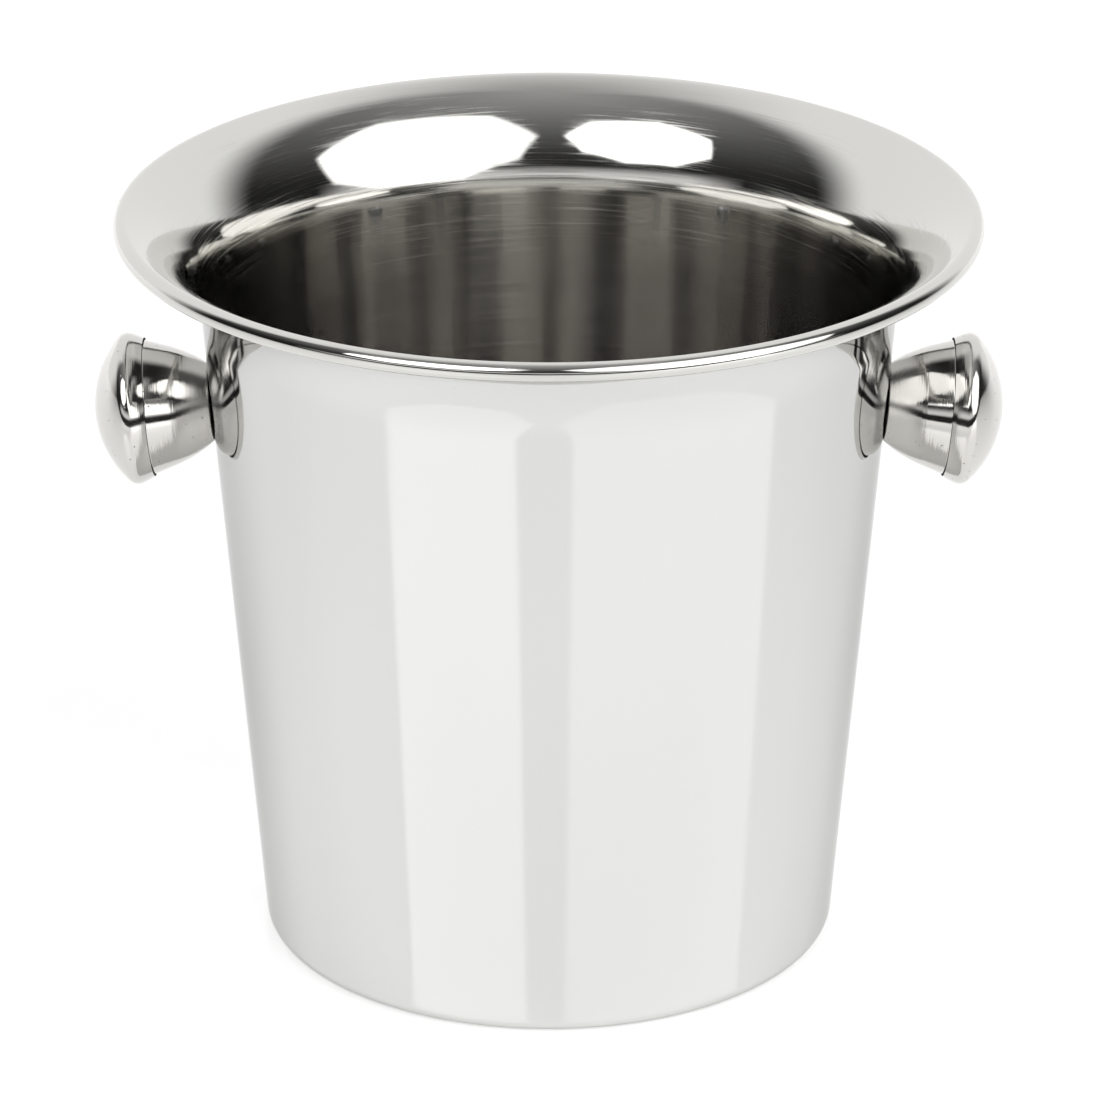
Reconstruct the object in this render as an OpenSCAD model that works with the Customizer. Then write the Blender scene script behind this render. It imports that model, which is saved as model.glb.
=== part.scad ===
// Champagne bucket: one drawn steel bucket with a flared, rolled rim and two hollow knobs.
// Origin: centre of the standing ring. +Z up, knobs on the X axis. Millimetres.

/* [Bucket] */
// Height from the standing ring to the top of the rim
bucket_h = 200; // [170:1:240]
// Outside diameter across the rolled rim
rim_d = 225; // [210:1:250]
// Diameter where the outside of the wall would meet the floor
base_d = 151.4; // [130:0.2:160]
// Outward lean of the wall from upright, in degrees
wall_lean = 4.83; // [3:0.01:6]
// Thickness of the steel sheet
sheet = 0.9; // [0.7:0.05:1.2]
// Outside radius of the corner between wall and base
corner_r = 4.4; // [3:0.1:10]
// Turn of the flare from upright to where the bead begins, in degrees
flare_turn = 66; // [50:1:75]
// Outside diameter of the rolled bead at the rim
bead_d = 5; // [4:0.1:7]
// How far round the bead is rolled, in degrees
bead_roll = 250; // [200:5:270]
// Height of the raised middle of the base above the standing ring
base_rise = 1.6; // [0.8:0.1:3]
// Radius of the raised middle of the base
base_rise_r = 60; // [40:1:62]

/* [Knobs] */
// Height of the knob axis where it meets the wall
knob_h = 146.5; // [110:0.5:155]
// Reach of a knob from the wall to its crown
knob_len = 30.6; // [27:0.1:34]
// Greatest diameter of a knob
knob_d = 39.8; // [38:0.1:42]
// Radius of the crown of the cap
crown_r = 27.3; // [26:0.1:32]
// Distance of the widest line of the cap from the wall
cap_widest = 20.7; // [19:0.1:22]
// Distance of the seam between cup and cap from the wall
seam_at = 16.1; // [15:0.1:18]
// Outside diameter of the cup at the seam
cup_mouth_d = 35.2; // [34:0.1:36]
// Open joint between cup and cap at the seam
seam_gap = 0.25; // [0.1:0.05:0.5]
// Thickness of the sheet the knobs are pressed from
knob_sheet = 0.7; // [0.5:0.05:0.9]

/* [Fixings] */
// Thread diameter of the knob screws
screw_d = 4; // [3:0.5:4]
// Length of a knob screw under its head
screw_len = 12; // [10:1:16]
// Diameter of the screw head
head_d = 8; // [7:0.1:9]
// Diameter of the washer under the screw head
washer_d = 12; // [10:0.5:14]

/* [Hidden] */
LEFT = -1;
RIGHT = 1;
$fn = 96;
nudge = 0.02;                  // clearance between faces that only touch

steel = [0.82, 0.82, 0.82];
dark_steel = [0.62, 0.63, 0.64];

// ---- bucket: derived sizes, all in the (radius, height) plane ----
base_r = base_d / 2;
bead_r = bead_d / 2;
wall_out = [cos(wall_lean), -sin(wall_lean)];
bead_c = [rim_d / 2 - bead_r, bucket_h - bead_r];
step_r = 3;                    // radius of both bends round the raised middle of the base
step_turn = acos(1 - base_rise / (2 * step_r));
step_run = 2 * step_r * sin(step_turn);
corner_c = [base_r + corner_r * (tan(wall_lean) - 1 / cos(wall_lean)), corner_r];
// The flare is one arc, tangent to the wall at its foot and to the bead at its lip.
flare_to_bead = cos(flare_turn - wall_lean);
bead_in = bead_r - sheet;
flare_r = ((bead_c - [base_r, 0]) * wall_out - bead_in * flare_to_bead) / (1 - flare_to_bead);
flare_c = bead_c + (flare_r - bead_in) * [cos(flare_turn), -sin(flare_turn)];
knob_wall_r = base_r + knob_h * tan(wall_lean);

// ---- knob: derived sizes, in the (radius, distance from the wall) plane ----
crown_c = [0, knob_len - crown_r];
edge_r = (pow(crown_r, 2) - pow(cap_widest - crown_c[1], 2) - pow(knob_d / 2, 2))
         / (2 * (crown_r - knob_d / 2));
edge_c = [knob_d / 2 - edge_r, cap_widest];
edge_from = atan2(edge_c[1] - crown_c[1], edge_c[0]);
tuck_from = -20;               // where the rounded edge becomes the flatter tuck behind it
tuck_r = 21.5;
tuck_c = edge_c + (edge_r - tuck_r) * [cos(tuck_from), sin(tuck_from)];
cone_turn = 18.4;              // lean of the straight band of the cup beside the seam
band_at = 10.7;                // where the straight band of the cup ends
cup_arc_r = 35;
cup_arc_c = [cup_mouth_d / 2 - (seam_at - band_at) * tan(cone_turn) - cup_arc_r * cos(cone_turn),
             band_at + cup_arc_r * sin(cone_turn)];
foot_edge_r = 0.75;
foot_at = nudge;
foot_turn = asin((cup_arc_c[1] - foot_at - foot_edge_r) / (cup_arc_r - foot_edge_r));
foot_c = cup_arc_c + (cup_arc_r - foot_edge_r) * [cos(foot_turn), -sin(foot_turn)];
lip_len = 2.4;                 // spigot of the cup inside the cap
bush_d = 11;
bush_len = 12;
screw_hole_d = screw_d + 2 * nudge;    // a close hole, so that the knob can't rock
cap_foot = seam_at + seam_gap;
washer_t = 1;
// A flat washer rests on the hollow side of the wall by two opposite edges.
washer_at = -(sheet + pow(washer_d / 2, 2) / (2 * (knob_wall_r - sheet)) + nudge);
head_h = 2.6;
recess_len = 4.4;              // cross recess in the screw head
recess_w = 1;
recess_deep = 1.7;

// Points on an arc about c, from angle a to angle b
function arc(c, r, a, b, n) =
    [for (i = [0 : n]) c + r * [cos(a + (b - a) * i / n), sin(a + (b - a) * i / n)]];

function reverse(list) = [for (i = [len(list) - 1 : -1 : 0]) list[i]];

// The sheet of the bucket at depth t below its outer face, from the middle of the base to the bead
function bucket_line(t) = concat(
    [[0, base_rise + t]],
    arc([base_rise_r, base_rise - step_r], step_r + t, 90, 90 - step_turn, 6),
    arc([base_rise_r + step_run, step_r], step_r - t, 270 - step_turn, 270, 6),
    arc(corner_c, corner_r - t, 270, 360 - wall_lean, 12),
    arc(flare_c, flare_r + t, 180 - wall_lean, 180 - flare_turn, 28),
    arc(bead_c, bead_in + t, 180 - flare_turn - 10, 180 - flare_turn - bead_roll, 28));

// The sheet of the cap at depth t below its outer face, from the crown to the seam
function cap_line(t) = concat(
    arc(crown_c, crown_r - t, 90, edge_from, 20),
    arc(edge_c, edge_r - t, edge_from - 5, tuck_from, 12),
    arc(tuck_c, tuck_r - t, tuck_from - 2, asin((cap_foot - tuck_c[1]) / (tuck_r - t)), 5));

// The sheet of the cup at depth t below its outer face, from the foot to the seam
function cup_line(t) = concat(
    [[screw_hole_d / 2, foot_at + t]],
    arc(foot_c, foot_edge_r - t, 270, 360 - foot_turn, 6),
    arc(cup_arc_c, cup_arc_r - t, -foot_turn + 1, -cone_turn, 14),
    [[cup_mouth_d / 2 - t / cos(cone_turn), seam_at]]);

// Puts a piece that is drawn along +Z onto the wall, on the left or the right side
module on_wall(side) {
    mirror([side == LEFT ? 1 : 0, 0, 0])
        translate([knob_wall_r, 0, knob_h])
            rotate([0, 90 + wall_lean, 0])
                children();
}

module turned(points) {
    rotate_extrude() polygon(points);
}

module tube(outer_d, inner_d, from, to) {
    translate([0, 0, from])
        difference() {
            cylinder(d = outer_d, h = to - from);
            translate([0, 0, -1]) cylinder(d = inner_d, h = to - from + 2);
        }
}

module bucket_body() {
    color(steel)
        difference() {
            turned(concat(bucket_line(0), reverse(bucket_line(sheet))));
            for (side = [LEFT, RIGHT])
                on_wall(side) translate([0, 0, -6]) cylinder(d = screw_hole_d, h = 12);
        }
}

module knob_cup(side) {
    lip_r = tuck_c[0] + (tuck_r - knob_sheet)
            * cos(asin((cap_foot - tuck_c[1]) / (tuck_r - knob_sheet))) - nudge;
    color(steel)
        on_wall(side)
            turned(concat(
                cup_line(0),
                [[lip_r, seam_at], [lip_r, seam_at + lip_len],
                 [lip_r - knob_sheet, seam_at + lip_len], [lip_r - knob_sheet, seam_at - 0.4]],
                reverse([for (p = cup_line(knob_sheet)) if (p[1] < seam_at - 0.5) p])));
}

module knob_cap(side) {
    color(steel)
        on_wall(side)
            turned(concat(cap_line(0), reverse(cap_line(knob_sheet))));
}

module knob_bush(side) {
    from = foot_at + knob_sheet;
    color(dark_steel)
        on_wall(side) tube(bush_d, screw_hole_d, from, from + bush_len);
}

module knob_washer(side) {
    color(dark_steel)
        on_wall(side) tube(washer_d, screw_d + 0.3, washer_at - washer_t, washer_at);
}

module knob_screw(side) {
    under = washer_at - washer_t;
    dome_h = 1.5;
    dome_r = (pow(head_d / 2, 2) + pow(dome_h, 2)) / (2 * dome_h);
    dome_half = asin(head_d / 2 / dome_r);
    tip = 0.8;
    color(dark_steel)
        on_wall(side)
            difference() {
                turned(concat(
                    [[0, under + screw_len], [screw_d / 2 - tip, under + screw_len],
                     [screw_d / 2, under + screw_len - tip], [screw_d / 2, under], [head_d / 2, under]],
                    arc([0, under - head_h + dome_r], dome_r, -90 + dome_half, -90, 8)));
                for (turn = [0, 90])
                    rotate(turn)
                        translate([-recess_len / 2, -recess_w / 2, under - head_h - 1])
                            cube([recess_len, recess_w, recess_deep + 1]);
            }
}

bucket_body();
knob_cup(LEFT);  // left_knob_cup
knob_cap(LEFT);  // left_knob_cap
knob_bush(LEFT);  // left_knob_bush
knob_screw(LEFT);  // left_knob_screw
knob_washer(LEFT);  // left_knob_washer
knob_cup(RIGHT);  // right_knob_cup
knob_cap(RIGHT);  // right_knob_cap
knob_bush(RIGHT);  // right_knob_bush
knob_screw(RIGHT);  // right_knob_screw
knob_washer(RIGHT);  // right_knob_washer
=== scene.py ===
"""A champagne bucket in drawn stainless steel: rolled rim, wide flare, two hollow turned knobs.

Metres, in the CAD frame: the standing ring is on the floor at the origin, +Z is up and the
knobs are on the X axis.
"""
from math import acos, asin, atan2, cos, pi, radians, sin, tan

import bmesh
import bpy
from mathutils import Matrix, Vector


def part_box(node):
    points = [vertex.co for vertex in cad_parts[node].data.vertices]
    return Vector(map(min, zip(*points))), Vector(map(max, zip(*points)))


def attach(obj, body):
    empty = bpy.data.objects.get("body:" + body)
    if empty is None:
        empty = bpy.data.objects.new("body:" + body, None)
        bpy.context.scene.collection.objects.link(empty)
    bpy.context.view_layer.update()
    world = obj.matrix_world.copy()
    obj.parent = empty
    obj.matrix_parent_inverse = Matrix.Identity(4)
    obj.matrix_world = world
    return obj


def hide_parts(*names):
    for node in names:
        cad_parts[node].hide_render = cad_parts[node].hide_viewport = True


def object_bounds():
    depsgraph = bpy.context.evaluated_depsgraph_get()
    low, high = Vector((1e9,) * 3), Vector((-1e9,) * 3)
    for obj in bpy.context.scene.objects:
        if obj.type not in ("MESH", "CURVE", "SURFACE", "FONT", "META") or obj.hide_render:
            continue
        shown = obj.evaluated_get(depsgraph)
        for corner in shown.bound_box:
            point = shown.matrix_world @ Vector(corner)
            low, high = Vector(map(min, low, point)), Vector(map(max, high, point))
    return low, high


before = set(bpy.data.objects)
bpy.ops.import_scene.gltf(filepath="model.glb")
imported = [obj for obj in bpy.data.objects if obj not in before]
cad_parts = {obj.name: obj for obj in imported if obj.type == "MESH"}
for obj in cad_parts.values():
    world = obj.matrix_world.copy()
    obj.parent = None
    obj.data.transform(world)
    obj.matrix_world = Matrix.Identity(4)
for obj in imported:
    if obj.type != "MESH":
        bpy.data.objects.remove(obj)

cad_low, cad_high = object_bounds()
MM = 0.001

# ---- sizes of the bucket, as the CAD model has them ----
RIM_TOP = cad_high.z
RIM_R = cad_high.y
LEAN = radians(4.83)
BASE_R = 75.7 * MM
SHEET = 0.9 * MM
CORNER_R = 4.4 * MM
FLARE_TURN = radians(66)
BEAD_R = 2.5 * MM
BEAD_ROLL = radians(250)
BASE_RISE = 1.6 * MM
BASE_RISE_R = 60 * MM
STEP_R = 3 * MM

# ---- sizes of a knob; u is the distance from the wall along the knob's axis ----
BUSH_LEN = 12 * MM
FOOT_U = 0.02 * MM
KNOB_SHEET = 0.7 * MM
KNOB_LEN = 30.6 * MM
KNOB_R = 19.9 * MM
CROWN_R = 27.3 * MM
CAP_WIDEST_U = 20.7 * MM
SEAM_U = 16.1 * MM
SEAM_GAP = 0.25 * MM
CUP_MOUTH_R = 17.6 * MM
TUCK_FROM = radians(-20)
TUCK_R = 21.5 * MM
CONE_TURN = radians(18.4)
BAND_U = 10.7 * MM
CUP_ARC_R = 35 * MM
FOOT_EDGE_R = 0.75 * MM
LIP_LEN = 2.4 * MM
SCREW_HOLE_R = 2.02 * MM
SPIGOT_PLAY = 0.02 * MM
FOOT_TURNS_DULL = (9 * MM, 3 * MM)
KNOB_AXIS = {
    "left": Vector((-cos(LEAN), 0, -sin(LEAN))),
    "right": Vector((cos(LEAN), 0, -sin(LEAN))),
}

# ---- heights inside the bucket where its finish changes ----
SATIN_FADES = (150 * MM, 176 * MM)
STREAKS_FADE = (160 * MM, 176 * MM)
DENTS_GROW = (140 * MM, 156 * MM)

# ---- how finely the pieces are turned ----
AROUND_BUCKET = 256
AROUND_KNOB = 128
HOLD = 1.5 * MM                # short faces beside each bend keep its shading off the flats
SHARP_TURN = radians(40)

# ---- the studio; an azimuth is from straight in front (-Y) towards +X ----
TABLE_R = 9.0
TABLE_FRONT_Y = -1.2
FRONT_MIDDLE = radians(7)      # the middle of the dark half of the room
WHITE_ROOM = 1.05              # a little over white, so that the backdrop can't look grey
DARK_ROOM = 0.02
CEILING = 0.43
LEFT_LAMP = {"azimuth": radians(-34.5), "elevation": radians(41), "half": 0.35,
             "wide": 1.03, "turn": 0, "power": 2.9}
RIGHT_LAMP = {"azimuth": radians(46), "elevation": radians(35.5), "half": 0.56,
              "wide": 1.09, "turn": radians(10), "power": 2.0}
CAMERA_DISTANCE = 1.7
CAMERA_ELEVATION = radians(22.85)
CAMERA_LENS = 210.7            # mm, before a 36 mm sensor
CAMERA_AIM = Vector((0.0003, 0, 0.10445))


# ---------------------------------------------------------------- shapes
def point(r, z):
    """A place on an outline, at radius r from the turning axis and height z along it."""
    return Vector((r, 0, z))


def on_arc(centre, radius, angle):
    """A place on an arc in the outline's plane."""
    return centre + radius * Vector((cos(angle), 0, sin(angle)))


class Outline:
    """A profile line in a bmesh. Straight runs extrude its end, bends spin its end."""

    def __init__(self, start):
        self.bm = bmesh.new()
        self.end = self.bm.verts.new(start)

    def line(self, to):
        grown = bmesh.ops.extrude_vert_indiv(self.bm, verts=[self.end])
        self.end = grown["verts"][0]
        self.end.co = to
        return self

    def bend(self, centre, turn, steps):
        """Turns the end about centre; a positive turn is anticlockwise with +Z up."""
        spun = bmesh.ops.spin(
            self.bm, geom=[self.end], cent=centre, axis=(0, -1, 0), angle=turn, steps=steps
        )
        self.end = next(g for g in spun["geom_last"] if isinstance(g, bmesh.types.BMVert))
        return self

    def turn_skin(self, around):
        """Spins the whole line about Z into one skin, without doubles, its faces all one way."""
        bm = self.bm
        bmesh.ops.spin(
            bm, geom=bm.verts[:] + bm.edges[:], cent=(0, 0, 0), axis=(0, 0, 1),
            angle=2 * pi, steps=around, use_merge=True,
        )
        bmesh.ops.remove_doubles(bm, verts=bm.verts[:], dist=1e-7)
        bmesh.ops.recalc_face_normals(bm, faces=bm.faces[:])
        return bm


def finish_piece(name, bm, materials, place=None):
    """Makes a smooth object of a bmesh, with its place in its mesh."""
    if place is not None:
        bmesh.ops.transform(bm, matrix=place, verts=bm.verts[:])
    mesh = bpy.data.meshes.new(name)
    bm.to_mesh(mesh)
    bm.free()
    mesh.shade_smooth()
    mesh.set_sharp_from_angle(angle=SHARP_TURN)
    for material in materials:
        mesh.materials.append(material)
    piece = bpy.data.objects.new(name, mesh)
    bpy.context.scene.collection.objects.link(piece)
    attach(piece, "root")
    return piece


# ---------------------------------------------------------------- materials
def linear(code):
    """An sRGB hex colour as linear RGBA."""
    parts = [int(code[i:i + 2], 16) / 255 for i in (1, 3, 5)]
    return [p / 12.92 if p <= 0.04045 else ((p + 0.055) / 1.055) ** 2.4 for p in parts] + [1]


def add(tree, kind, inputs=None, **settings):
    """Adds a node, gives it its settings, and links or sets its inputs by name or number."""
    node = tree.nodes.new(kind)
    for name, value in settings.items():
        setattr(node, name, value)
    for key, value in (inputs or {}).items():
        if isinstance(value, bpy.types.NodeSocket):
            tree.links.new(value, node.inputs[key])
        else:
            node.inputs[key].default_value = value
    return node


def new_material(name):
    material = bpy.data.materials.new(name)
    material.use_nodes = True
    material.node_tree.nodes.clear()
    return material, material.node_tree


def turned_coordinates(tree, place=None):
    """Object coordinates about a turning axis, and roughly the distance along the profile,
    z + radius, which grows all the way from foot to lip."""
    coords = add(tree, "ShaderNodeTexCoord").outputs["Object"]
    if place is not None:
        back = place.inverted()
        coords = add(tree, "ShaderNodeMapping",
                     {"Vector": coords, "Location": back.to_translation(),
                      "Rotation": back.to_euler()}).outputs[0]
    xyz = add(tree, "ShaderNodeSeparateXYZ", {0: coords})
    flat = add(tree, "ShaderNodeCombineXYZ", {"X": xyz.outputs["X"], "Y": xyz.outputs["Y"]})
    radius = add(tree, "ShaderNodeVectorMath", {0: flat.outputs[0]}, operation="LENGTH")
    along = add(tree, "ShaderNodeMath", {0: xyz.outputs["Z"], 1: radius.outputs["Value"]},
                operation="ADD")
    return xyz, along.outputs[0]


def turned_lines(tree, xyz, along, spacing, run):
    """Noise drawn out into lines round the axis: spacing apart along the profile, each about
    run long round it."""
    line_place = add(tree, "ShaderNodeMath", {0: along, 1: run / spacing}, operation="MULTIPLY")
    vector = add(tree, "ShaderNodeCombineXYZ",
                 {"X": xyz.outputs["X"], "Y": xyz.outputs["Y"], "Z": line_place.outputs[0]})
    noise = add(tree, "ShaderNodeTexNoise",
                {"Vector": vector.outputs[0], "Scale": 1 / run, "Detail": 3, "Roughness": 0.6})
    return noise.outputs["Fac"]


def mirror_polished_stainless():
    """18/0 stainless, buffed to a mirror: reflections stay sharp, broken only by faint
    fingerprints and the slight waviness of a drawn wall."""
    material, tree = new_material("mirror_polished_stainless")
    xyz, along = turned_coordinates(tree)
    coords = add(tree, "ShaderNodeTexCoord").outputs["Object"]
    smudge = add(tree, "ShaderNodeTexNoise",
                 {"Vector": coords, "Scale": 1 / (22.2 * MM), "Detail": 4})
    rough = add(tree, "ShaderNodeMapRange",
                {0: smudge.outputs["Fac"], 1: 0.35, 2: 0.7, 3: 0.035, 4: 0.075})
    # Real buffing lines are about 0.1 mm apart. They are drawn coarser so that they show.
    lines = turned_lines(tree, xyz, along, 0.5 * MM, 30 * MM)
    wave = add(tree, "ShaderNodeTexNoise",
               {"Vector": coords, "Scale": 1 / (55.6 * MM), "Detail": 1})
    height = add(tree, "ShaderNodeMath", {0: lines, 1: 0.02, 2: wave.outputs["Fac"]},
                 operation="MULTIPLY_ADD")
    bump = add(tree, "ShaderNodeBump",
               {"Height": height.outputs[0], "Strength": 0.12, "Distance": 0.1 * MM})
    shader = add(tree, "ShaderNodeBsdfPrincipled",
                 {"Base Color": linear("#D7D7D5"), "Metallic": 1, "Roughness": rough.outputs[0],
                  "Specular Tint": linear("#D8D8D8"), "Normal": bump.outputs[0]})
    add(tree, "ShaderNodeOutputMaterial", {"Surface": shader.outputs[0]})
    return material


def buffed_flare_satin_bowl():
    """The same sheet inside: buffed on the flare and bead, and left satin from the lathe in
    the bowl, where fine rings smear reflections into upright streaks."""
    material, tree = new_material("buffed_flare_satin_bowl")
    xyz, along = turned_coordinates(tree)
    height_up = xyz.outputs["Z"]
    coords = add(tree, "ShaderNodeTexCoord").outputs["Object"]
    # Real lathe rings are 0.1 to 0.2 mm apart. They are drawn coarser so that they show.
    rings = turned_lines(tree, xyz, along, 0.9 * MM, 60 * MM)
    scratches = turned_lines(tree, xyz, along, 0.45 * MM, 25 * MM)

    ragged = add(tree, "ShaderNodeMath", {0: rings, 1: 9 * MM, 2: height_up},
                 operation="MULTIPLY_ADD")
    satin = add(tree, "ShaderNodeMapRange",
                {0: ragged.outputs[0], 1: SATIN_FADES[0], 2: SATIN_FADES[1], 3: 1, 4: 0},
                interpolation_type="SMOOTHSTEP")
    buffed_rough = add(tree, "ShaderNodeMapRange",
                       {0: scratches, 1: 0.5, 2: 0.75, 3: 0.045, 4: 0.21})
    satin_rough = add(tree, "ShaderNodeMapRange", {0: rings, 1: 0.3, 2: 0.7, 3: 0.09, 4: 0.13})
    rough = add(tree, "ShaderNodeMix",
                {0: satin.outputs[0], 2: buffed_rough.outputs[0], 3: satin_rough.outputs[0]})

    # Shallow flutes run up the drawn wall, and the neck keeps dents from the spinning roller.
    upright = add(tree, "ShaderNodeMapping", {"Vector": coords, "Scale": (1, 1, 0.06)})
    flutes = add(tree, "ShaderNodeTexNoise",
                 {"Vector": upright.outputs[0], "Scale": 1 / (11.1 * MM), "Detail": 2})
    dents = add(tree, "ShaderNodeTexNoise",
                {"Vector": coords, "Scale": 1 / (18.2 * MM), "Detail": 0})
    in_bowl = add(tree, "ShaderNodeMapRange",
                  {0: height_up, 1: STREAKS_FADE[0], 2: STREAKS_FADE[1], 3: 1, 4: 0},
                  interpolation_type="SMOOTHSTEP")
    in_neck = add(tree, "ShaderNodeMapRange",
                  {0: height_up, 1: DENTS_GROW[0], 2: DENTS_GROW[1], 3: 0, 4: 2.2},
                  interpolation_type="SMOOTHSTEP")
    height = add(tree, "ShaderNodeMath", {0: rings, 1: 0.06, 2: flutes.outputs["Fac"]},
                 operation="MULTIPLY_ADD")
    height = add(tree, "ShaderNodeMath",
                 {0: dents.outputs["Fac"], 1: in_neck.outputs[0], 2: height.outputs[0]},
                 operation="MULTIPLY_ADD")
    height = add(tree, "ShaderNodeMath", {0: height.outputs[0], 1: in_bowl.outputs[0]},
                 operation="MULTIPLY")
    bump = add(tree, "ShaderNodeBump",
               {"Height": height.outputs[0], "Strength": 1, "Distance": 0.06 * MM})

    colour = add(tree, "ShaderNodeMix",
                 {0: satin.outputs[0], 6: linear("#D2D1CD"), 7: linear("#C9C7C4")},
                 data_type="RGBA")
    tangent = add(tree, "ShaderNodeTangent", direction_type="RADIAL", axis="Z")
    shader = add(tree, "ShaderNodeBsdfPrincipled",
                 {"Base Color": colour.outputs[2], "Metallic": 1, "Roughness": rough.outputs[0],
                  "Anisotropic": 1, "Anisotropic Rotation": 0.25,
                  "Tangent": tangent.outputs[0], "Normal": bump.outputs[0]})
    add(tree, "ShaderNodeOutputMaterial", {"Surface": shader.outputs[0]})
    return material


def turned_bright_steel(name, place):
    """Pressed stainless, spun against fine cloth on a lathe: hair-fine rings round the knob's
    own axis draw the lamps out along it, and a few pits are left as dark specks."""
    material, tree = new_material(name)
    xyz, along = turned_coordinates(tree, place)
    coords = add(tree, "ShaderNodeTexCoord").outputs["Object"]
    # Real cloth rings are finer than 0.1 mm. They are drawn coarser so that they show.
    rings = turned_lines(tree, xyz, along, 0.8 * MM, 40 * MM)
    smudge = add(tree, "ShaderNodeTexNoise",
                 {"Vector": coords, "Scale": 1 / (6.25 * MM), "Detail": 4})
    dull = add(tree, "ShaderNodeMapRange",
               {0: xyz.outputs["Z"], 1: FOOT_TURNS_DULL[0], 2: FOOT_TURNS_DULL[1], 3: 0, 4: 0.16},
               interpolation_type="SMOOTHSTEP")
    rough = add(tree, "ShaderNodeMapRange",
                {0: smudge.outputs["Fac"], 1: 0.35, 2: 0.75, 3: 0.08, 4: 0.13})
    rough = add(tree, "ShaderNodeMath", {0: rough.outputs[0], 1: dull.outputs[0]},
                operation="ADD")

    # The pits are about 0.4 mm across and several millimetres apart.
    cells = add(tree, "ShaderNodeTexVoronoi", {"Vector": coords, "Scale": 1 / (2.6 * MM)})
    pits = add(tree, "ShaderNodeMapRange",
               {0: cells.outputs["Distance"], 1: 0.05, 2: 0.09, 3: 1, 4: 0})
    height = add(tree, "ShaderNodeMath", {0: pits.outputs[0], 1: -2, 2: rings},
                 operation="MULTIPLY_ADD")
    bump = add(tree, "ShaderNodeBump",
               {"Height": height.outputs[0], "Strength": 0.6, "Distance": 0.05 * MM})

    colour = add(tree, "ShaderNodeMix",
                 {0: pits.outputs[0], 6: linear("#CFCDC9"), 7: linear("#5A5856")},
                 data_type="RGBA")
    tangent = add(tree, "ShaderNodeTangent", direction_type="RADIAL", axis="X")
    shader = add(tree, "ShaderNodeBsdfPrincipled",
                 {"Base Color": colour.outputs[2], "Metallic": 1, "Roughness": rough.outputs[0],
                  "Anisotropic": 0.6, "Anisotropic Rotation": 0.25,
                  "Tangent": tangent.outputs[0], "Normal": bump.outputs[0]})
    add(tree, "ShaderNodeOutputMaterial", {"Surface": shader.outputs[0]})
    return material


def seam_painted_shade():
    """Painted shade in the joint between cup and cap: the faces that look into the gap are
    coloured nearly black.
    """
    material, tree = new_material("seam_painted_shade")
    coords = add(tree, "ShaderNodeTexCoord").outputs["Object"]
    grain = add(tree, "ShaderNodeTexNoise",
                {"Vector": coords, "Scale": 1 / (1.11 * MM), "Detail": 3})
    # The two nearly black tones are painted shade inside the joint, mottled by the noise.
    tint = add(tree, "ShaderNodeMix",
               {0: grain.outputs["Fac"], 6: linear("#1E1B18"), 7: linear("#3A3530")},
               data_type="RGBA")
    shader = add(tree, "ShaderNodeBsdfPrincipled",
                 {"Base Color": tint.outputs[2], "Roughness": 0.8, "Specular IOR Level": 0.2})
    add(tree, "ShaderNodeOutputMaterial", {"Surface": shader.outputs[0]})
    return material


def zinc_plated_steel():
    """Plain turned steel fixings with a thin bright zinc coat: cool grey, slightly cloudy."""
    material, tree = new_material("zinc_plated_steel")
    coords = add(tree, "ShaderNodeTexCoord").outputs["Object"]
    cloud = add(tree, "ShaderNodeTexNoise",
                {"Vector": coords, "Scale": 1 / (1.43 * MM), "Detail": 5})
    rough = add(tree, "ShaderNodeMapRange",
                {0: cloud.outputs["Fac"], 1: 0.3, 2: 0.7, 3: 0.2, 4: 0.4})
    bump = add(tree, "ShaderNodeBump",
               {"Height": cloud.outputs["Fac"], "Strength": 0.3, "Distance": 0.03 * MM})
    shader = add(tree, "ShaderNodeBsdfPrincipled",
                 {"Base Color": linear("#B9BCC0"), "Metallic": 1, "Roughness": rough.outputs[0],
                  "Normal": bump.outputs[0]})
    add(tree, "ShaderNodeOutputMaterial", {"Surface": shader.outputs[0]})
    return material


def white_acrylic_table():
    """A lit table of glossy white acrylic: its light fills the shade round the bucket's foot,
    and it mirrors the lamps."""
    material, tree = new_material("white_acrylic_table")
    coords = add(tree, "ShaderNodeTexCoord").outputs["Object"]
    xyz = add(tree, "ShaderNodeSeparateXYZ", {0: coords})
    from_foot = add(tree, "ShaderNodeVectorMath", {0: coords}, operation="LENGTH")
    # The glow is strongest under the bucket and falls away from it, most of all behind.
    near = add(tree, "ShaderNodeMapRange",
               {0: from_foot.outputs["Value"], 1: 80 * MM, 2: 350 * MM, 3: 0.445, 4: 0.37})
    to_back = add(tree, "ShaderNodeMapRange",
                  {0: xyz.outputs["Y"], 1: -250 * MM, 2: 200 * MM, 3: 0, 4: 0.075})
    glow = add(tree, "ShaderNodeMath", {0: near.outputs[0], 1: to_back.outputs[0]},
               operation="SUBTRACT")
    shader = add(tree, "ShaderNodeBsdfPrincipled",
                 {"Base Color": linear("#E6E6E6"), "Roughness": 0.07, "Specular IOR Level": 0.37,
                  "Emission Color": linear("#FFFFFF"), "Emission Strength": glow.outputs[0]})
    add(tree, "ShaderNodeOutputMaterial", {"Surface": shader.outputs[0]})
    return material


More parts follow.
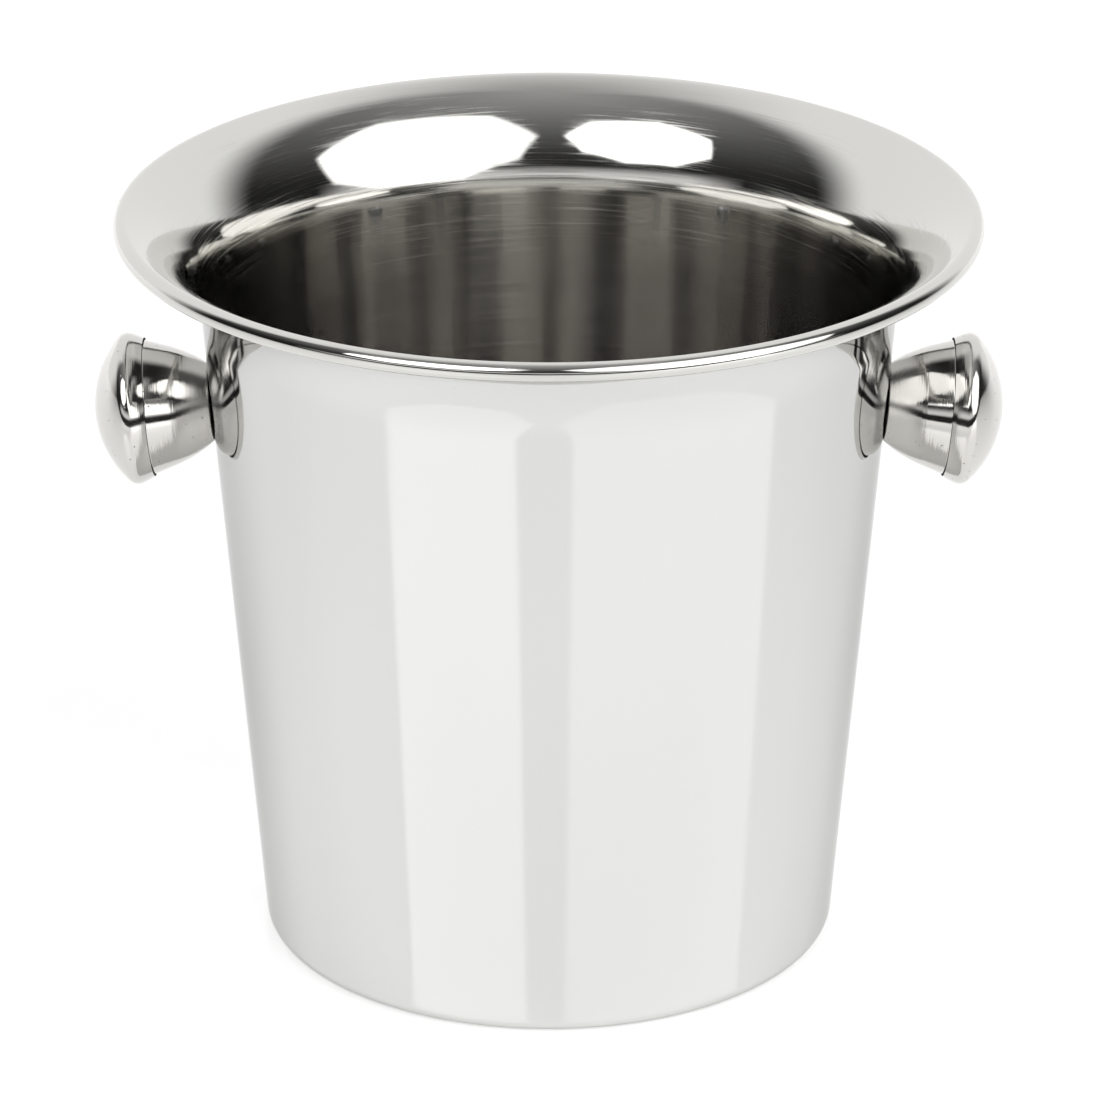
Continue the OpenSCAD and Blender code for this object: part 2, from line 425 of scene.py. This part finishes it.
# ---------------------------------------------------------------- pieces
def bucket():
    """The drawn sheet, from the middle of the base to the end of the rolled bead."""
    wall_out = Vector((cos(LEAN), 0, -sin(LEAN)))
    bead_c = point(RIM_R - BEAD_R, RIM_TOP - BEAD_R)
    bead_in = BEAD_R - SHEET
    step_turn = acos(1 - BASE_RISE / (2 * STEP_R))
    step_run = 2 * STEP_R * sin(step_turn)
    corner_c = point(BASE_R + CORNER_R * (tan(LEAN) - 1 / cos(LEAN)), CORNER_R)
    reach = cos(FLARE_TURN - LEAN)
    flare_r = ((bead_c - point(BASE_R, 0)).dot(wall_out) - bead_in * reach) / (1 - reach)
    flare_c = on_arc(bead_c, flare_r - bead_in, -FLARE_TURN)
    wall_foot = on_arc(corner_c, CORNER_R, -LEAN)
    wall_head = on_arc(flare_c, flare_r, pi - LEAN)
    up_wall = (wall_head - wall_foot).normalized() * HOLD

    outline = Outline(point(0, BASE_RISE))
    outline.line(point(BASE_RISE_R - HOLD, BASE_RISE)).line(point(BASE_RISE_R, BASE_RISE))
    outline.bend(point(BASE_RISE_R, BASE_RISE - STEP_R), -step_turn, 6)
    outline.bend(point(BASE_RISE_R + step_run, STEP_R), step_turn, 6)
    outline.line(point(corner_c.x, 0))
    outline.bend(corner_c, pi / 2 - LEAN, 14)
    outline.line(wall_foot + up_wall).line(wall_head - up_wall).line(wall_head)
    outline.bend(flare_c, LEAN - FLARE_TURN, 36)
    outline.bend(bead_c, -BEAD_ROLL, 36)
    bm = outline.turn_skin(AROUND_BUCKET)
    base = min(bm.faces, key=lambda f: f.calc_center_median().length)
    if base.normal.z > 0:
        bmesh.ops.reverse_faces(bm, faces=bm.faces[:])
    outside = set(bm.faces)
    bmesh.ops.solidify(bm, geom=bm.faces[:], thickness=SHEET)
    for face in bm.faces:
        face.material_index = 0 if face in outside else 1
    return bm


def knob_place(side):
    """Turns a piece drawn along +Z onto the knob's axis, with u = 0 at the wall."""
    low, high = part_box(side + "_knob_bush")
    bush_mid_u = FOOT_U + KNOB_SHEET + BUSH_LEN / 2
    wall_point = (Vector(low) + Vector(high)) / 2 - bush_mid_u * KNOB_AXIS[side]
    turn = atan2(KNOB_AXIS[side].x, KNOB_AXIS[side].z)
    return Matrix.Translation(wall_point) @ Matrix.Rotation(turn, 4, "Y")


# The crown, its rounded edge and the tuck behind it are arcs that meet smoothly.
CROWN_C = point(0, KNOB_LEN - CROWN_R)
EDGE_R = ((CROWN_R ** 2 - (CAP_WIDEST_U - CROWN_C.z) ** 2 - KNOB_R ** 2)
          / (2 * (CROWN_R - KNOB_R)))
EDGE_C = point(KNOB_R - EDGE_R, CAP_WIDEST_U)
TUCK_C = on_arc(EDGE_C, EDGE_R - TUCK_R, TUCK_FROM)


def mark_seam(bm):
    """Gives the faces that look into the joint, both edges and the spigot, material 1, which
    carries the painted seam shade.
    """
    for face in bm.faces:
        centre = face.calc_center_median()
        radius = Vector((centre.x, centre.y)).length
        across = abs(face.normal.z) > 0.8 or radius < CUP_MOUTH_R - 0.2 * MM
        if across and SEAM_U - 0.1 * MM < centre.z < SEAM_U + LIP_LEN / 2:
            face.material_index = 1
    return bm


def cap():
    """The domed cap: crown, rounded edge, and the flatter tuck down to the seam."""
    edge_from = atan2(EDGE_C.z - CROWN_C.z, EDGE_C.x)
    tuck_to = asin((SEAM_U + SEAM_GAP - TUCK_C.z) / TUCK_R)
    outline = Outline(point(0, KNOB_LEN))
    outline.bend(CROWN_C, edge_from - pi / 2, 26)
    outline.bend(EDGE_C, TUCK_FROM - edge_from, 16)
    outline.bend(TUCK_C, tuck_to - TUCK_FROM, 6)
    bm = outline.turn_skin(AROUND_KNOB)
    crown = max(bm.faces, key=lambda f: f.calc_center_median().z)
    if crown.normal.z < 0:
        bmesh.ops.reverse_faces(bm, faces=bm.faces[:])
    bmesh.ops.solidify(bm, geom=bm.faces[:], thickness=KNOB_SHEET)
    return mark_seam(bm)


def cup():
    """The waisted cup: flat foot, curved side, straight band, and the spigot inside the cap."""
    arc_c = point(CUP_MOUTH_R - (SEAM_U - BAND_U) * tan(CONE_TURN) - CUP_ARC_R * cos(CONE_TURN),
                  BAND_U + CUP_ARC_R * sin(CONE_TURN))
    foot_turn = asin((arc_c.z - FOOT_U - FOOT_EDGE_R) / (CUP_ARC_R - FOOT_EDGE_R))
    foot_c = on_arc(arc_c, CUP_ARC_R - FOOT_EDGE_R, -foot_turn)
    inner_r = TUCK_R - KNOB_SHEET
    cap_foot_turn = asin((SEAM_U + SEAM_GAP - TUCK_C.z) / inner_r)
    lip_r = TUCK_C.x + inner_r * cos(cap_foot_turn) - SPIGOT_PLAY
    outline = Outline(point(SCREW_HOLE_R, FOOT_U))
    outline.line(point(foot_c.x - 2 * MM, FOOT_U)).line(point(foot_c.x, FOOT_U))
    outline.bend(foot_c, pi / 2 - foot_turn, 8)
    outline.bend(arc_c, foot_turn - CONE_TURN, 22)
    outline.line(point(CUP_MOUTH_R, SEAM_U)).line(point(lip_r, SEAM_U))
    outline.line(point(lip_r, SEAM_U + LIP_LEN))
    bm = outline.turn_skin(AROUND_KNOB)
    foot = min(bm.faces, key=lambda f: f.calc_center_median().z)
    if foot.normal.z > 0:
        bmesh.ops.reverse_faces(bm, faces=bm.faces[:])
    bmesh.ops.solidify(bm, geom=bm.faces[:], thickness=KNOB_SHEET)
    return mark_seam(bm)


def make_pieces():
    outside = mirror_polished_stainless()
    inside = buffed_flare_satin_bowl()
    zinc = zinc_plated_steel()
    seam_shade = seam_painted_shade()
    body = finish_piece("bucket", bucket(), [outside, inside])
    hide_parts("bucket_body")
    for side in KNOB_AXIS:
        place = knob_place(side)
        steel = turned_bright_steel(f"turned_bright_steel_{side}", place)
        for part, shape in (("cap", cap), ("cup", cup)):
            # Material 1, on the faces inside the joint, is the painted seam shade.
            piece = finish_piece(f"{side}_{part}", shape(), [steel, seam_shade], place=place)
            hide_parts(f"{side}_knob_{part}")
        for part in ("bush", "screw", "washer"):
            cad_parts[f"{side}_knob_{part}"].material_slots[0].material = zinc


# ---------------------------------------------------------------- studio
def make_floor():
    """A round table, cut straight in front, where the dark of the room shows past it."""
    bm = bmesh.new()
    bmesh.ops.create_circle(bm, cap_ends=True, segments=96, radius=TABLE_R)
    bmesh.ops.bisect_plane(bm, geom=bm.verts[:] + bm.edges[:] + bm.faces[:], clear_outer=True,
                           plane_co=(0, TABLE_FRONT_Y, 0), plane_no=(0, -1, 0))
    mesh = bpy.data.meshes.new("table")
    bm.to_mesh(mesh)
    bm.free()
    mesh.materials.append(white_acrylic_table())
    table = bpy.data.objects.new("table", mesh)
    bpy.context.scene.collection.objects.link(table)


def octabox(tree, direction, azimuth, elevation, half, wide, turn, power):
    """An eight-sided soft lamp in the sky: how much light it sends from a direction. Half is
    its half height over its distance, wide its width over its height, and turn leans it
    anticlockwise."""
    facing = Vector((sin(azimuth) * cos(elevation), -cos(azimuth) * cos(elevation),
                     sin(elevation)))
    level = facing.cross(Vector((0, 0, 1))).normalized()
    upright = level.cross(facing)
    furthest = 0.0
    for side in range(4):
        angle = turn + side * pi / 4
        out = level * cos(angle) / wide + upright * sin(angle)
        off = add(tree, "ShaderNodeVectorMath", {0: direction, 1: out}, operation="DOT_PRODUCT")
        off = add(tree, "ShaderNodeMath", {0: off.outputs["Value"]}, operation="ABSOLUTE")
        furthest = add(tree, "ShaderNodeMath", {0: off.outputs[0], 1: furthest},
                       operation="MAXIMUM").outputs[0]
    ahead = add(tree, "ShaderNodeVectorMath", {0: direction, 1: facing}, operation="DOT_PRODUCT")
    ahead = add(tree, "ShaderNodeMath", {0: ahead.outputs["Value"], 1: 0.01},
                operation="MAXIMUM")
    spread = add(tree, "ShaderNodeMath", {0: furthest, 1: ahead.outputs[0]}, operation="DIVIDE")
    return add(tree, "ShaderNodeMapRange",
               {0: spread.outputs[0], 1: half * 1.05, 2: half * 0.95, 3: 0, 4: power},
               interpolation_type="SMOOTHSTEP").outputs[0]


def make_studio_light():
    """The room as seen from its middle: white behind, dark in front but for a pale band low
    down, grey overhead, and the two soft lamps."""
    world = bpy.data.worlds.new("studio")
    bpy.context.scene.world = world
    world.use_nodes = True
    tree = world.node_tree
    tree.nodes.clear()
    direction = add(tree, "ShaderNodeTexCoord").outputs["Generated"]
    xyz = add(tree, "ShaderNodeSeparateXYZ", {0: direction})
    toward = add(tree, "ShaderNodeMath", {0: xyz.outputs["Y"], 1: -1}, operation="MULTIPLY")
    azimuth = add(tree, "ShaderNodeMath", {0: xyz.outputs["X"], 1: toward.outputs[0]},
                  operation="ARCTAN2")
    elevation = add(tree, "ShaderNodeMath", {0: xyz.outputs["Z"]}, operation="ARCSINE").outputs[0]
    off_front = add(tree, "ShaderNodeMath", {0: azimuth.outputs[0], 1: FRONT_MIDDLE},
                    operation="SUBTRACT")
    off_front = add(tree, "ShaderNodeMath", {0: off_front.outputs[0]}, operation="ABSOLUTE")

    # The front half is dark and lightens towards the ceiling. The back half is white.
    climb = add(tree, "ShaderNodeMapRange", {0: elevation, 1: radians(15), 2: radians(90)})
    climb = add(tree, "ShaderNodeMath", {0: climb.outputs[0], 1: 1.5}, operation="POWER")
    front = add(tree, "ShaderNodeMapRange", {0: climb.outputs[0], 3: DARK_ROOM, 4: CEILING})
    back = add(tree, "ShaderNodeMapRange",
               {0: elevation, 1: radians(50), 2: radians(90), 3: WHITE_ROOM, 4: CEILING},
               interpolation_type="SMOOTHSTEP")
    behind = add(tree, "ShaderNodeMapRange",
                 {0: off_front.outputs[0], 1: radians(104), 2: radians(130)},
                 interpolation_type="SMOOTHSTEP")
    room = add(tree, "ShaderNodeMix",
               {0: behind.outputs[0], 2: front.outputs[0], 3: back.outputs[0]})

    # Under 3.5 degrees the two halves keep one tone each, down to the floor.
    above = add(tree, "ShaderNodeMapRange", {0: elevation, 1: radians(3.5), 2: radians(10)},
                interpolation_type="SMOOTHSTEP")
    low = add(tree, "ShaderNodeMapRange", {0: behind.outputs[0], 3: DARK_ROOM, 4: WHITE_ROOM})
    light = add(tree, "ShaderNodeMix",
                {0: above.outputs[0], 2: low.outputs[0], 3: room.outputs[0]})

    # The pale band under the lamps brightens the flare's neck.
    rise = add(tree, "ShaderNodeMapRange", {0: elevation, 1: radians(3.5), 2: radians(6)})
    fall = add(tree, "ShaderNodeMapRange",
               {0: elevation, 1: radians(10), 2: radians(17), 3: 0.85, 4: 0})
    ahead = add(tree, "ShaderNodeMapRange",
                {0: off_front.outputs[0], 1: radians(55), 2: radians(75), 3: 1, 4: 0})
    band = add(tree, "ShaderNodeMath", {0: rise.outputs[0], 1: fall.outputs[0]},
               operation="MULTIPLY")
    light = add(tree, "ShaderNodeMath",
                {0: band.outputs[0], 1: ahead.outputs[0], 2: light.outputs[0]},
                operation="MULTIPLY_ADD")
    for lamp in (LEFT_LAMP, RIGHT_LAMP):
        light = add(tree, "ShaderNodeMath",
                    {0: light.outputs[0], 1: octabox(tree, direction, **lamp)}, operation="ADD")

    # The backdrop itself looks plain white from every side. Only reflections see the room.
    seen = add(tree, "ShaderNodeLightPath").outputs["Is Camera Ray"]
    light = add(tree, "ShaderNodeMix", {0: seen, 2: light.outputs[0], 3: WHITE_ROOM})
    sky = add(tree, "ShaderNodeBackground", {"Color": light.outputs[0], "Strength": 1})
    add(tree, "ShaderNodeOutputWorld", {"Surface": sky.outputs[0]})


def make_camera():
    """A long lens, looking a little down on the bucket from straight in front."""
    back = Vector((0, -cos(CAMERA_ELEVATION), sin(CAMERA_ELEVATION)))
    data = bpy.data.cameras.new("camera")
    data.sensor_width = 36
    data.lens = CAMERA_LENS
    camera = bpy.data.objects.new("camera", data)
    camera.location = CAMERA_AIM + back * CAMERA_DISTANCE
    camera.rotation_euler = back.to_track_quat("Z", "Y").to_euler()
    bpy.context.scene.collection.objects.link(camera)
    bpy.context.scene.camera = camera


make_pieces()
make_floor()
make_studio_light()
make_camera()
bpy.context.scene.view_settings.view_transform = "Standard"
